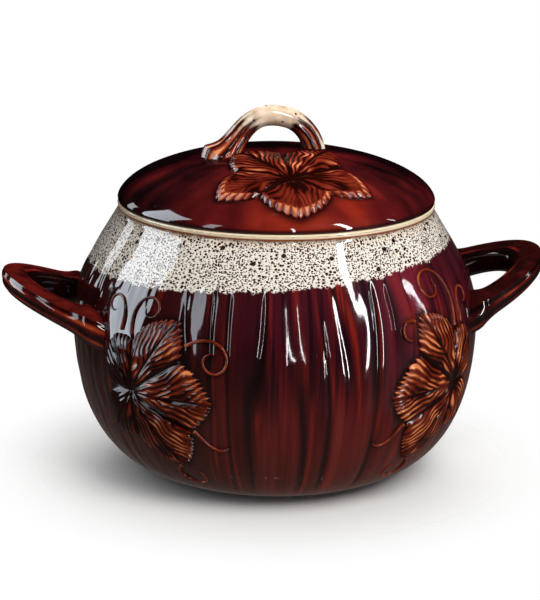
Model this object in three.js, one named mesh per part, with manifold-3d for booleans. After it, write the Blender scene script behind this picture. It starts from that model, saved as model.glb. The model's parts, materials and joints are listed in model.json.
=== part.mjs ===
// A lidded stoneware baking pot: a round-bellied body with two strap handles, vine-leaf sprigs and slip
// tendrils on its flanks, and a domed lid with a leaf sprig and a loop handle shaped like a gourd stem.
// Millimetres, +Z up. The origin is on the table at the middle of the foot, and -Y is the front.
import * as THREE from 'three';
import { mergeVertices } from 'three/addons/utils/BufferGeometryUtils.js';
import Module from 'manifold-3d';

const wasm = await Module();
wasm.setup();

// Pot body
const footRadius = 55;
const bellyRadius = 122;
const bellyHeight = 92; // where the belly is widest
const bellyFullness = 0.64; // 0.55 is an ellipse, more is squarer
const rimRadius = 95;
const rimHeight = 165; // the seat of the lid
const shoulderFullness = 0.42;
const shoulderLean = 30; // degrees from upright, just below the lip
const shoulderLead = 36;
const lipHeight = 4;
const lipProud = 1;
const rimWidth = 8;
const mouthDepth = 9; // the straight stretch inside the rim
const wall = 7.5;
const floorThickness = 9;
const footRingWidth = 9;
const footRecess = 1.5;

// Lid
const lidRise = 29.5; // from the seat to the top of the dome
const lidEdgeHeight = 2;
const lidEdgeRound = 12;
const lidCrownReach = 62;
const lidWall = 6.5;
const lidUndercut = 1.2;
const flangeDepth = 8;
const flangeWall = 6;
const flangeClearance = 1.2;

// Side handles
const handleReach = 42.5; // beyond the belly
const handleSpan = 80; // between the middles of the two roots
const handleRootHeight = 100; // of the left handle
const rightHandleLift = 6; // the right handle was luted on this much higher
const handleRise = 17; // from the roots to the grip
const handleWidth = 20;
const handleThickness = 14;
const handleRootSink = 16; // how far the loop is drawn on into the belly before it is trimmed
const handleFlare = 1.25;

// Stem handle of the lid
const stemGap = 14; // between the dome and the arch
const stemThickness = 12.4;
const stemSetback = 6; // behind the middle of the lid
const stemTurn = 12; // degrees from the line of the side handles
const stemLeft = 36;
const stemRight = 26;
const stemCrest = -3;
const stemRootLeft = 24;
const stemRootRight = 15;
const stemRootSink = 6;

// Sprigs and tendrils
const leafHeight = 71; // of the leaf's middle on the belly
const leafTurn = 39; // degrees round the belly, from the middle of a handle to the middle of a leaf
const leafReach = 57; // from the leaf's middle to the tip of its longest lobe
const leafThickness = 3;
const leafEdge = 1.6;
const lobeFullness = 0.75; // 1 has straight sides, less is fuller
const lidLeafForward = 58;
const lidLeafReach = 50;
const tendrilWidth = 2.4;
const tendrilHeight = 1.3;
const tendrilTaper = 0.4; // of the width and height, lost from root to tip
const seam = 0.3; // the slip joint between two pieces

// How finely the round shapes are divided
const roundSteps = 56;
const bodySteps = 24;
const insideSteps = 16;
const domeSteps = 14;
const undersideSteps = 9;
const loopSteps = 20;
const loopSides = 12;
const lobeSteps = 4;
const tendrilSteps = 16;

// A lobed leaf outline: tips and notches by turns, as [degrees from the leaf's axis, share of its reach].
const bellyLeafShares = [
  [0, 0.95], [34, 0.72], [55, 1], [86, 0.54], [113, 0.6],
  [180, 0.21], [238, 0.58], [272, 0.49], [305, 0.93], [336, 0.74],
];
const lidLeafShares = [
  [0, 0.66], [55, 0.5], [77, 0.92], [118, 0.66], [145, 1],
  [180, 0.72], [215, 1], [242, 0.66], [283, 0.92], [305, 0.5],
];

// A tendril leaves the leaf's edge and tightens into a curl. Its length is a share of the leaf's reach, and
// its bends are the degrees it would turn through if it kept the curve of its root, or of its tip, all along.
// The two sides differ a little, as the hand that laid them did.
const tendrils = [
  { name: 'upper', side: -1, leaves: 90, heading: 91, length: 0.95, bends: [40, -780] },
  { name: 'upper', side: 1, leaves: 90, heading: 91, length: 1.47, bends: [77, -890] },
  { name: 'back', leaves: 104, heading: 84, length: 0.72, bends: [-30, 660] },
  { name: 'front', side: -1, leaves: 41, heading: 34, length: 1.09, bends: [-78, -696] },
  { name: 'front', side: 1, leaves: 50, heading: 36, length: 0.39, bends: [-188, -251] },
  { name: 'lower', leaves: 336, heading: 324, length: 0.43, bends: [-97, 284] },
  { name: 'foot', leaves: 299, heading: 201, length: 0.7, bends: [252, 325] },
];

function brownGlaze() {
  return new THREE.MeshStandardMaterial({ color: 0x4a150f, roughness: 0.12, metalness: 0 });
}

function amberGlaze() {
  return new THREE.MeshStandardMaterial({ color: 0x8a3d16, roughness: 0.15, metalness: 0 });
}

function creamGlaze() {
  return new THREE.MeshStandardMaterial({ color: 0xb98f68, roughness: 0.2, metalness: 0 });
}

const radians = THREE.MathUtils.degToRad;
const point = (x, y) => new THREE.Vector2(x, y);

// Profile curves, as radius and height
const lipFoot = point(rimRadius - lipProud, rimHeight - lipHeight);
const bodyCurve = new THREE.CurvePath();
bodyCurve.add(new THREE.CubicBezierCurve(
  point(footRadius, 0),
  point(footRadius + bellyFullness * (bellyRadius - footRadius), 0),
  point(bellyRadius, bellyHeight * (1 - bellyFullness)),
  point(bellyRadius, bellyHeight),
));
bodyCurve.add(new THREE.CubicBezierCurve(
  point(bellyRadius, bellyHeight),
  point(bellyRadius, bellyHeight + shoulderFullness * (lipFoot.y - bellyHeight)),
  point(
    lipFoot.x + shoulderLead * Math.sin(radians(shoulderLean)),
    lipFoot.y - shoulderLead * Math.cos(radians(shoulderLean)),
  ),
  lipFoot,
));
const domeCurve = new THREE.CubicBezierCurve( // from the edge of the lid to its top, above the seat
  point(rimRadius, lidEdgeHeight),
  point(rimRadius, lidEdgeHeight + lidEdgeRound),
  point(lidCrownReach, lidRise),
  point(0, lidRise),
);

// A point of a profile, moved out along its normal. Both curves run with the outside on their right.
function offsetPoint(curve, t, distance) {
  const tangent = curve.getTangent(t);
  return curve.getPoint(t).add(point(tangent.y, -tangent.x).multiplyScalar(distance));
}

function offsetProfile(curve, steps, distance) {
  return Array.from({ length: steps + 1 }, (_, i) => offsetPoint(curve, i / steps, distance));
}

// Where along a curve a measure that only grows reaches a value.
function solve(measure, value) {
  let low = 0;
  let high = 1;
  for (let i = 0; i < 40; i++) {
    const middle = (low + high) / 2;
    if (measure(middle) < value) low = middle;
    else high = middle;
  }
  return (low + high) / 2;
}

// Solids

function turned(profile) {
  return new THREE.LatheGeometry(profile, roundSteps).rotateX(Math.PI / 2);
}

// A closed skin over rings of points, with a fan over each end.
function loft(rings) {
  const count = rings[0].length;
  const middle = (ring) => ring.reduce((sum, p) => sum.add(p), new THREE.Vector3()).divideScalar(count);
  const vertices = [...rings.flat(), middle(rings[0]), middle(rings.at(-1))];
  const firstCap = rings.length * count;
  const index = [];
  for (let j = 0; j < count; j++) {
    const next = (j + 1) % count;
    for (let i = 0; i < rings.length - 1; i++) {
      const a = i * count;
      const b = a + count;
      index.push(a + j, a + next, b + next, a + j, b + next, b + j);
    }
    const last = (rings.length - 1) * count;
    index.push(next, j, firstCap, last + j, last + next, firstCap + 1);
  }
  const geometry = new THREE.BufferGeometry().setFromPoints(vertices).setIndex(index);
  return faceOut(geometry);
}

// A mirrored loft has its faces turned in, so they are turned round.
function faceOut(geometry) {
  const at = (i) => new THREE.Vector3().fromBufferAttribute(geometry.attributes.position, i);
  const index = geometry.index.array;
  let volume = 0;
  for (let i = 0; i < index.length; i += 3) {
    volume += at(index[i]).dot(at(index[i + 1]).cross(at(index[i + 2])));
  }
  if (volume < 0) geometry.setIndex([...index].reverse());
  return geometry;
}

function solidOf(geometry) {
  const bare = geometry.clone().deleteAttribute('normal').deleteAttribute('uv');
  const merged = mergeVertices(bare, 1e-4);
  const corners = merged.index.array;
  const kept = [];
  for (let i = 0; i < corners.length; i += 3) {
    const [a, b, c] = corners.slice(i, i + 3);
    if (a !== b && b !== c && c !== a) kept.push(a, b, c);
  }
  return new wasm.Manifold(new wasm.Mesh({
    numProp: 3,
    vertProperties: merged.attributes.position.array,
    triVerts: new Uint32Array(kept),
  }));
}

function geometryOf(solid) {
  const { vertProperties, triVerts } = solid.getMesh();
  return new THREE.BufferGeometry()
    .setAttribute('position', new THREE.BufferAttribute(vertProperties, 3))
    .setIndex(new THREE.BufferAttribute(triVerts, 1));
}

// The part of a piece that lies outside another piece's solid.
function trimmed(geometry, cutter) {
  return geometryOf(solidOf(geometry).subtract(solidOf(cutter)));
}

// Pot body

function potBody() {
  const outer = offsetProfile(bodyCurve, bodySteps, 0);
  const mouthRadius = rimRadius - rimWidth;
  const mouthFoot = rimHeight - mouthDepth;
  const inner = offsetProfile(bodyCurve, insideSteps, -wall)
    .filter((p) => p.y > floorThickness && p.y < mouthFoot)
    .reverse();
  const floorCorner = inner.at(-1);
  const ringInside = footRadius - footRingWidth;
  const profile = [
    point(0, footRecess),
    point(ringInside - footRecess, footRecess),
    point(ringInside, 0),
    ...outer,
    point(rimRadius, rimHeight - lipHeight / 2),
    point(rimRadius - lipProud / 2, rimHeight),
    point(mouthRadius, rimHeight),
    point(mouthRadius, mouthFoot),
    ...inner,
    point(floorCorner.x - (floorCorner.y - floorThickness), floorThickness),
    point(0, floorThickness),
  ];
  return turned(profile);
}

// The belly as a plain solid, grown by the slip joint, which trims what is luted onto it.
function bellyCutter() {
  const outer = offsetProfile(bodyCurve, bodySteps, seam);
  return turned([point(0, outer[0].y), ...outer, point(0, outer.at(-1).y)]);
}

// Side handles

// A flattened loop that rises from two roots on the belly, drawn along +X.
function sideHandle(rootHeight) {
  const bellyAtRoot = bodyCurve.getPoint(solve((t) => bodyCurve.getPoint(t).y, rootHeight)).x;
  const rootX = Math.sqrt(bellyAtRoot ** 2 - (handleSpan / 2) ** 2) - handleRootSink;
  const gripX = bellyRadius + handleReach - handleWidth / 2;
  const slope = handleRise / (gripX - rootX - handleRootSink);
  const rings = [];
  for (let i = 0; i <= loopSteps; i++) {
    const sweep = Math.PI * (i / loopSteps - 0.5);
    const flare = 1 + (handleFlare - 1) * Math.sin(sweep) ** 8;
    const out = new THREE.Vector3(
      Math.cos(sweep) * handleSpan / 2,
      Math.sin(sweep) * (gripX - rootX),
      0,
    ).normalize();
    const across = new THREE.Vector3(out.x, out.y, out.x * slope);
    const reach = (gripX - rootX) * Math.cos(sweep);
    const centre = new THREE.Vector3(
      rootX + reach,
      Math.sin(sweep) * handleSpan / 2,
      rootHeight + (reach - handleRootSink) * slope,
    );
    const ring = [];
    for (let j = 0; j < loopSides; j++) {
      const around = (2 * Math.PI * j) / loopSides;
      ring.push(centre.clone()
        .addScaledVector(across, Math.cos(around) * flare * handleWidth / 2)
        .add(new THREE.Vector3(0, 0, Math.sin(around) * flare * handleThickness / 2)));
    }
    rings.push(ring);
  }
  return trimmed(loft(rings), bellyCutter());
}

// Sprigs

// How far a leaf reaches at an angle, and how near that is to a lobe's midrib: 1 on it, 0 in a notch.
function leafEdgeAt(outline, degrees) {
  const next = outline.findIndex(([angle]) => angle > degrees);
  const to = next < 0 ? outline.length : next;
  const [fromAngle, fromReach] = outline[to - 1];
  const [toAngle, toReach] = to === outline.length ? [360, outline[0][1]] : outline[to];
  const share = (degrees - fromAngle) / (toAngle - fromAngle);
  const midrib = (toReach > fromReach ? share : 1 - share) ** lobeFullness;
  const notch = Math.min(fromReach, toReach);
  return { reach: notch + Math.abs(toReach - fromReach) * midrib, midrib };
}

function leafAngles(outline) {
  return outline.flatMap(([from], i) => {
    const to = i + 1 < outline.length ? outline[i + 1][0] : 360;
    return Array.from({ length: lobeSteps }, (_, k) => from + ((to - from) * k) / lobeSteps);
  });
}

// A leaf pressed on a surface. lay(along, up, height) gives the place of a point of the flat leaf.
function leafSprig(outline, size, lay, surface) {
  const levels = [
    [0.06, -leafThickness, 0], [1, -leafThickness, 0], [1, leafEdge, 0],
    [0.78, leafEdge, 1], [0.42, leafEdge, 1], [0.06, leafEdge, 0],
  ];
  const angles = leafAngles(outline);
  const pressed = loft(levels.map(([share, base, crowned]) => angles.map((degrees) => {
    const { reach, midrib } = leafEdgeAt(outline, degrees);
    const height = base + crowned * midrib * (leafThickness - leafEdge);
    const turn = radians(degrees);
    const out = share * reach * size;
    return lay(out * Math.cos(turn), out * Math.sin(turn), seam + height);
  })));
  return trimmed(pressed, surface);
}

// A bead of slip along a curl whose bend grows steadily from its root to its tip.
function tendrilBead(shape, lay) {
  const rootReach = leafEdgeAt(bellyLeafShares, shape.leaves).reach * leafReach + tendrilWidth;
  let along = rootReach * Math.cos(radians(shape.leaves));
  let up = rootReach * Math.sin(radians(shape.leaves));
  let heading = radians(shape.heading);
  const step = shape.length * leafReach / tendrilSteps;
  const section = [[-0.5, 0], [-0.3, 1], [0.3, 1], [0.5, 0]];
  const rings = [];
  for (let i = 0; i <= tendrilSteps; i++) {
    const share = i / tendrilSteps;
    const taper = 1 - tendrilTaper * share;
    rings.push(section.map(([side, rise]) => lay(
      along - Math.sin(heading) * side * taper * tendrilWidth,
      up + Math.cos(heading) * side * taper * tendrilWidth,
      seam + rise * taper * tendrilHeight,
    )));
    heading += radians(THREE.MathUtils.lerp(...shape.bends, share)) / tendrilSteps;
    along += Math.cos(heading) * step;
    up += Math.sin(heading) * step;
  }
  return loft(rings);
}

// Lays a flat drawing on one flank: its axis points to the front or the back, away from the handle.
function layOnBelly(side, face) {
  const length = bodyCurve.getLength();
  const middle = solve((t) => bodyCurve.getPoint(t).y, leafHeight);
  return (along, up, height) => {
    const { x: radius, y: z } = offsetPoint(bodyCurve, middle + up / length, height);
    const turn = radians(leafTurn) + along / radius;
    return new THREE.Vector3(side * radius * Math.cos(turn), -face * radius * Math.sin(turn), z);
  };
}

// Lid, above its seat

function lidShell() {
  const outer = offsetProfile(domeCurve, domeSteps, 0);
  const flangeRadius = rimRadius - rimWidth - flangeClearance;
  const flangeInside = flangeRadius - flangeWall;
  const underside = offsetProfile(domeCurve, undersideSteps, -lidWall)
    .filter((p) => p.x < flangeInside)
    .reverse();
  underside[0].x = 0;
  const profile = [
    ...underside,
    point(flangeInside, underside.at(-1).y - lidUndercut),
    point(flangeInside, -flangeDepth),
    point(flangeRadius, -flangeDepth),
    point(flangeRadius, 0),
    point(rimRadius - lidUndercut, 0),
    ...outer,
  ];
  profile.at(-1).x = 0;
  return turned(profile);
}

function domeCutter() {
  const outer = offsetProfile(domeCurve, domeSteps, seam);
  outer.at(-1).x = 0;
  return turned([point(0, 0), point(outer[0].x, 0), ...outer]);
}

// The arch is drawn along +X, then set back and turned on the lid.
function stemHandle() {
  const domeAt = (x) => domeCurve.getPoint(solve((t) => -domeCurve.getPoint(t).x, -x)).y;
  const crest = lidRise + stemGap + stemThickness / 2;
  const rootLeft = domeAt(stemLeft) - stemRootSink;
  const rootRight = domeAt(stemRight) - stemRootSink;
  const arch = new THREE.CurvePath();
  arch.add(new THREE.CubicBezierCurve(
    point(-stemLeft, rootLeft),
    point((stemCrest - 2 * stemLeft) / 3, (2 * rootLeft + crest) / 3),
    point((2 * stemCrest - stemLeft) / 3 - stemThickness / 2, crest),
    point(stemCrest, crest),
  ));
  arch.add(new THREE.CubicBezierCurve(
    point(stemCrest, crest),
    point(stemCrest + stemThickness, crest),
    point(stemRight, (rootRight + 3 * crest) / 4),
    point(stemRight, rootRight),
  ));
  const rings = [];
  for (let i = 0; i <= loopSteps; i++) {
    const t = i / loopSteps;
    const { x, y } = arch.getPoint(t);
    const tangent = arch.getTangent(t);
    const grown = Math.abs(2 * t - 1) ** 3;
    const width = stemThickness + grown * ((t < 0.5 ? stemRootLeft : stemRootRight) - stemThickness);
    const ring = [];
    for (let j = 0; j < loopSides; j++) {
      const around = (2 * Math.PI * j) / loopSides;
      ring.push(new THREE.Vector3(
        x - tangent.y * Math.cos(around) * width / 2,
        Math.sin(around) * width / 2,
        y + tangent.x * Math.cos(around) * width / 2,
      ));
    }
    rings.push(ring);
  }
  const placed = loft(rings).translate(0, stemSetback, 0).rotateZ(radians(stemTurn));
  return trimmed(placed, domeCutter());
}

// Lays a flat drawing on the dome, with its axis to the front.
function layOnDome(along, up, height) {
  const x = up;
  const y = -lidLeafForward - along;
  const t = solve((s) => -domeCurve.getPoint(s).x, -Math.hypot(x, y));
  const { x: radius, y: z } = offsetPoint(domeCurve, t, height);
  const turn = Math.atan2(y, x);
  return new THREE.Vector3(radius * Math.cos(turn), radius * Math.sin(turn), z);
}

// Assembly

function piece(name, geometry, material) {
  const mesh = new THREE.Mesh(geometry, material);
  mesh.name = name;
  return mesh;
}

const pot = new THREE.Group();
pot.add(piece('pot_body', potBody(), brownGlaze()));
for (const [side, label] of [[-1, 'left'], [1, 'right']]) {
  const rootHeight = handleRootHeight + (side > 0 ? rightHandleLift : 0);
  const handle = piece(`handle_${label}`, sideHandle(rootHeight), brownGlaze());
  handle.rotation.z = side < 0 ? Math.PI : 0;
  pot.add(handle);
  for (const [face, end] of [[1, 'front'], [-1, 'back']]) {
    const lay = layOnBelly(side, face);
    const leaf = leafSprig(bellyLeafShares, leafReach, lay, bellyCutter());
    pot.add(piece(`leaf_${end}_${label}`, leaf, amberGlaze()));
    for (const shape of tendrils.filter((t) => !t.side || t.side === side)) {
      pot.add(piece(`tendril_${shape.name}_${end}_${label}`, tendrilBead(shape, lay), amberGlaze()));
    }
  }
}

const lid = new THREE.Group();
lid.position.z = rimHeight;
lid.add(piece('lid_shell', lidShell(), brownGlaze()));
lid.add(piece('lid_leaf', leafSprig(lidLeafShares, lidLeafReach, layOnDome, domeCutter()), amberGlaze()));
lid.add(piece('lid_stem_handle', stemHandle(), creamGlaze()));

const bakingPot = new THREE.Group();
bakingPot.add(pot, lid);

export default bakingPot;
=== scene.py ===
import json
import math
from types import SimpleNamespace

import bpy
import numpy as np
from mathutils import Matrix, Vector
from mathutils.kdtree import KDTree

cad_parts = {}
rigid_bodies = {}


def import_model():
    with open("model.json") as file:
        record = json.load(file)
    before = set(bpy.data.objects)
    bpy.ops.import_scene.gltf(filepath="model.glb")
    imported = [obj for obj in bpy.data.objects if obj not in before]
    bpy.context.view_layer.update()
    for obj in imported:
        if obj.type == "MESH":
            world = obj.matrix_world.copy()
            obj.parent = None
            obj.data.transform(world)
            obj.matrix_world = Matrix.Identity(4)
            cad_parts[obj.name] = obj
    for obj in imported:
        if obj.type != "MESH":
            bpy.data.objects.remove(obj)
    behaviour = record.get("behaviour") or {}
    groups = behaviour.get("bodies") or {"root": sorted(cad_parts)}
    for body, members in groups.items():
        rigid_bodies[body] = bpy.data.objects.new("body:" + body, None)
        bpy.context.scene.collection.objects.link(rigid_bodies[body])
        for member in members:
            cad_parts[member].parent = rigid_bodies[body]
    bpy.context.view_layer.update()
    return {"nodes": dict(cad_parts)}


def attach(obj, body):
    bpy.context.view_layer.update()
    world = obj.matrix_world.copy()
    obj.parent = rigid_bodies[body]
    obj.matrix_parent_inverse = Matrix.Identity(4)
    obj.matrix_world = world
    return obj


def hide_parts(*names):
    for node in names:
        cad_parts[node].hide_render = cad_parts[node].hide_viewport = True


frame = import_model()
scene = bpy.context.scene
mm = 0.001  # settings are in millimetres, meshes in metres
fullTurn = 2 * math.pi
print("frame loaded:", len(frame["nodes"]), "nodes")


# meshes

def gridFaces(rows, columns):
    # quads between closed rings of points, wound so that rows going up face out
    row, column = np.meshgrid(np.arange(rows - 1), np.arange(columns), indexing="ij")
    a, b = row * columns + column, row * columns + (column + 1) % columns
    return np.stack([a, b, b + columns, a + columns], -1).reshape(-1, 4).tolist()


def linked(name, mesh):
    made = bpy.data.objects.new(name, mesh)
    scene.collection.objects.link(made)
    return made


def setValues(mesh, label, value):
    field = mesh.attributes.new(label, "FLOAT", "POINT")
    field.data.foreach_set("value", np.asarray(value, np.float32).ravel())


def ringsPiece(name, rings, values, flip):
    # a closed skin over rings of points in millimetres, with a fan over each end
    rows, columns = rings.shape[:2]
    count, last = rows * columns, (rows - 1) * columns
    points = np.vstack([rings.reshape(-1, 3), rings[0].mean(0), rings[-1].mean(0)])
    pairs = [(a, (a + 1) % columns) for a in range(columns)]
    faces = gridFaces(rows, columns)
    faces += [[b, a, count] for a, b in pairs]
    faces += [[last + a, last + b, count + 1] for a, b in pairs]
    if flip:
        faces = [face[::-1] for face in faces]
    mesh = bpy.data.meshes.new(name)
    mesh.from_pydata((points * mm).tolist(), [], faces)
    mesh.polygons.foreach_set("use_smooth", [True] * len(faces))
    for label, value in values.items():
        setValues(mesh, label, np.concatenate([value.ravel(), [value[0].mean(), value[-1].mean()]]))
    return linked(name, mesh)


def linePiece(name, points, values):
    # a row of points joined by edges, for a node tree to work on
    mesh = bpy.data.meshes.new(name)
    mesh.from_pydata((points * mm).tolist(), [(i, i + 1) for i in range(len(points) - 1)], [])
    for label, value in values.items():
        setValues(mesh, label, value)
    return linked(name, mesh)


def vertexArray(piece):
    flat = np.empty(len(piece.data.vertices) * 3, np.float32)
    piece.data.vertices.foreach_get("co", flat)
    return flat.reshape(-1, 3) / mm


def bezier(corners, count):
    a, b, c, d = np.array(corners, float)
    t = np.linspace(0, 1, count)[:, None]
    return (1 - t) ** 3 * a + 3 * (1 - t) ** 2 * t * b + 3 * (1 - t) * t ** 2 * c + t ** 3 * d


def lengthsAlong(line):
    return np.concatenate([[0], np.cumsum(np.linalg.norm(np.diff(line, axis=0), axis=1))])


def evenly(line, count):
    # the same line with its points at even distances
    length = lengthsAlong(line)
    wanted = np.linspace(0, length[-1], count)
    return np.stack([np.interp(wanted, length, line[:, k]) for k in range(line.shape[1])], -1)


def tangents(line):
    made = np.gradient(line, axis=0)
    return made / np.linalg.norm(made, axis=1)[:, None]


def smoothStep(low, high, value):
    t = np.clip((value - low) / (high - low), 0, 1)
    return t * t * (3 - 2 * t)


def bump(value, middle, width):
    return np.exp(-((value - middle) / width) ** 2)


# node trees

class Term:
    # one value in a node tree, so that a sum of values is written as a sum

    def __init__(self, tree, socket):
        self.tree = tree
        self.socket = socket

    def math(self, operation, *others):
        return output(self.tree, "ShaderNodeMath", dict(enumerate((self, *others))), operation=operation)

    def between(self, low, high, atLow=0.0, atHigh=1.0):
        limits = {"Value": self, "From Min": low, "From Max": high, "To Min": atLow, "To Max": atHigh}
        return output(self.tree, "ShaderNodeMapRange", limits, interpolation_type="SMOOTHSTEP")

    def into(self, socket):
        self.tree.links.new(self.socket, socket)

    def __add__(self, other):
        return self.math("ADD", other)

    def __sub__(self, other):
        return self.math("SUBTRACT", other)

    def __mul__(self, other):
        return self.math("MULTIPLY", other)

    def __truediv__(self, other):
        return self.math("DIVIDE", other)


def addNode(tree, kind, inputs=None, **settings):
    made = tree.nodes.new(kind)
    for key, value in settings.items():
        setattr(made, key, value)
    for key, value in (inputs or {}).items():
        if isinstance(value, Term):
            value.into(made.inputs[key])
        else:
            made.inputs[key].default_value = value
    return made


def output(tree, kind, inputs=None, key=0, **settings):
    return Term(tree, addNode(tree, kind, inputs, **settings).outputs[key])


def split(place):
    made = addNode(place.tree, "ShaderNodeSeparateXYZ", {0: place})
    return [Term(place.tree, socket) for socket in made.outputs]


def joined(x, y, z):
    return output(x.tree, "ShaderNodeCombineXYZ", {"X": x, "Y": y, "Z": z})


def scaled(place, factor):
    return output(place.tree, "ShaderNodeVectorMath", {"Vector": place, "Scale": factor}, operation="SCALE")


def growTree(name, sizes):
    # a geometry tree with named inputs, one for each size, and a material
    tree = bpy.data.node_groups.new(name, "GeometryNodeTree")
    tree.interface.new_socket("Geometry", in_out="INPUT", socket_type="NodeSocketGeometry")
    for label, value in sizes.items():
        kind = "NodeSocketInt" if isinstance(value, int) else "NodeSocketFloat"
        tree.interface.new_socket(label, in_out="INPUT", socket_type=kind).default_value = value
    tree.interface.new_socket("Material", in_out="INPUT", socket_type="NodeSocketMaterial")
    tree.interface.new_socket("Geometry", in_out="OUTPUT", socket_type="NodeSocketGeometry")
    given = tree.nodes.new("NodeGroupInput").outputs
    return tree, {socket.name: Term(tree, socket) for socket in given}


def closeTree(geometry, material):
    tree = geometry.tree
    smooth = output(tree, "GeometryNodeSetShadeSmooth", {"Geometry": geometry})
    whole = output(tree, "GeometryNodeRealizeInstances", {"Geometry": smooth})
    glazed = output(tree, "GeometryNodeSetMaterial", {"Geometry": whole, "Material": material})
    addNode(tree, "NodeGroupOutput", {"Geometry": glazed})
    return tree


def storeValue(geometry, label, value):
    kept = {"Geometry": geometry, "Name": label, "Value": value}
    return output(geometry.tree, "GeometryNodeStoreNamedAttribute", kept, data_type="FLOAT", domain="POINT")


def named(tree, label):
    return output(tree, "GeometryNodeInputNamedAttribute", {"Name": label}, data_type="FLOAT")


def grow(piece, tree, sizes, material):
    # runs a tree on a piece and keeps the result as a plain mesh
    modifier = piece.modifiers.new(tree.name, "NODES")
    modifier.node_group = tree
    wanted = {**sizes, "Material": material}
    for item in tree.interface.items_tree:
        if item.in_out == "INPUT" and item.name in wanted:
            modifier[item.identifier] = wanted[item.name]
    graph = bpy.context.evaluated_depsgraph_get()
    evaluated = piece.evaluated_get(graph)
    made = bpy.data.meshes.new_from_object(evaluated, preserve_all_data_layers=True, depsgraph=graph)
    piece.modifiers.remove(modifier)
    old = piece.data
    piece.data = made
    bpy.data.meshes.remove(old)
    made.name = piece.name
    return piece


wheelSettings = {
    "wave": (0.3, 0.7), "waveRoughness": 0.45, "rippleTall": 3.5,
    "dabbed": (-0.45, -0.68), "flank": (0.45, 0.75),  # cosines, so to the left, and to both sides
    "strayFine": 0.45, "straySeed": 20.0, "pressedFine": 0.8, "pressedSeed": 40.0,
    "pressed": (0.36, 0.6, 0.15, 1.0),  # a groove isn't as deep all along
    "brinks": [(1.5, 60.0, (0.44, 0.62)), (-1.5, 80.0, (0.5, 0.66, 0.0, 0.7))],  # place, seed, where bare
    "brinkWidth": 0.55, "brinkFine": 1.2, "weld": 0.01,
}


def wheelTree():
    # turns a profile round the axis, with swells, upright grooves and ripples drawn into its outside
    look = wheelSettings
    tree, given = growTree("thrownOnTheWheel", {
        "Steps Round": 96, "Rows": 2, "Swell Depth": 0.0, "Swells": 9.0, "Swell Drift": 4.0,
        "Grooves": 1.0, "Groove Depth": 0.0, "Groove Width": 0.1, "Groove Stray": 0.0,
        "Drawn From": 0.0, "Drawn To": 0.0, "Fade": 0.01, "Flank Share": 1.0, "Ripples": 1.0,
        "Ripple Depth": 0.0, "Seed": 0.0})
    body = output(tree, "GeometryNodeMeshGrid", {
        "Size X": 1.0, "Size Y": 1.0, "Vertices X": given["Steps Round"], "Vertices Y": given["Rows"]})
    sheet = split(output(tree, "GeometryNodeInputPosition"))
    turned = sheet[0] + 0.5
    turn = turned * fullTurn
    row = ((sheet[1] + 0.5) * (given["Rows"] - 1.0)).math("ROUND")

    def onProfile(value, kind):
        wanted = {"Geometry": given["Geometry"], "Value": value, "Index": row}
        return output(tree, "GeometryNodeSampleIndex", wanted, data_type=kind)

    radius, _, height = split(onProfile(output(tree, "GeometryNodeInputPosition"), "FLOAT_VECTOR"))
    skin = onProfile(named(tree, "skin"), "FLOAT")
    cosine, sine = turn.math("COSINE"), turn.math("SINE")
    ring = joined(cosine * given["Swells"], sine * given["Swells"], height * given["Swell Drift"])

    def uneven(finer, seed):
        return output(tree, "ShaderNodeTexNoise", {
            "Vector": scaled(ring, finer), "W": given["Seed"] + seed, "Scale": 1.0, "Detail": 1.0,
            "Roughness": look["waveRoughness"]}, noise_dimensions="4D")

    swell = uneven(1.0, 0.0).between(*look["wave"])
    stray = (uneven(look["strayFine"], look["straySeed"]) - 0.5) * given["Groove Stray"]
    across = (turned * given["Grooves"] + stray).math("FRACT") - 0.5

    def line(offset, width):
        off = (across - offset) / width
        return (off * off * -1.0).math("EXPONENT")

    low, high, fade, wide = (given[key] for key in ("Drawn From", "Drawn To", "Fade", "Groove Width"))
    held = height.between(low, low + fade) * height.between(high, high - fade) * skin.math("LESS_THAN", 0.5)
    dabbed = held * cosine.between(*look["dabbed"])  # by a hand, on the left alone
    # wiped smoother where the leaves were pressed on
    held = held * cosine.math("ABSOLUTE").between(*look["flank"], 1.0, given["Flank Share"])
    pressed = uneven(look["pressedFine"], look["pressedSeed"]).between(*look["pressed"])
    groove = line(0.0, wide) * pressed * held
    thin = wide * look["brinkWidth"]
    near, far = (line(wide * place, thin) * uneven(look["brinkFine"], seed).between(*bare)
                 for place, seed, bare in look["brinks"])
    ripples = given["Ripples"]
    rippled = joined(cosine * ripples, sine * ripples, height * (ripples * look["rippleTall"]))
    ripple = output(tree, "ShaderNodeTexNoise", {
        "Vector": rippled, "Scale": 1.0, "Detail": 1.0, "Roughness": look["waveRoughness"]})
    drawn = radius - groove * given["Groove Depth"] - swell * held * given["Swell Depth"]
    drawn = drawn - ripple.between(*look["wave"]) * given["Ripple Depth"] * dabbed
    for label, value in (("skin", skin), ("swell", swell), ("groove", groove), ("brink", near + far)):
        body = storeValue(body, label, value)
    placed = joined(drawn * cosine, drawn * sine, height)
    body = output(tree, "GeometryNodeSetPosition", {"Geometry": body, "Position": placed})
    body = output(tree, "GeometryNodeMergeByDistance", {"Geometry": body, "Distance": look["weld"] * mm})
    return closeTree(body, given["Material"])


def ribTree():
    # raises ribs on a pressed piece, where its own values say how they run
    tree, given = growTree("pressedRibs", {"Rib Height": 0.0005, "Rib Sharpness": 1.0, "Rib Shade": 1.0})
    wave = (named(tree, "ribPhase") * fullTurn).math("COSINE") * 0.5 + 0.5
    rib = wave.math("POWER", given["Rib Sharpness"]) * named(tree, "ribGain")
    rise = scaled(output(tree, "GeometryNodeInputNormal"), rib * given["Rib Height"])
    raised = output(tree, "GeometryNodeSetPosition", {"Geometry": given["Geometry"], "Offset": rise})
    ridge = rib * given["Rib Shade"] + named(tree, "glow")
    return closeTree(storeValue(raised, "ridge", ridge), given["Material"])


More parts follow.
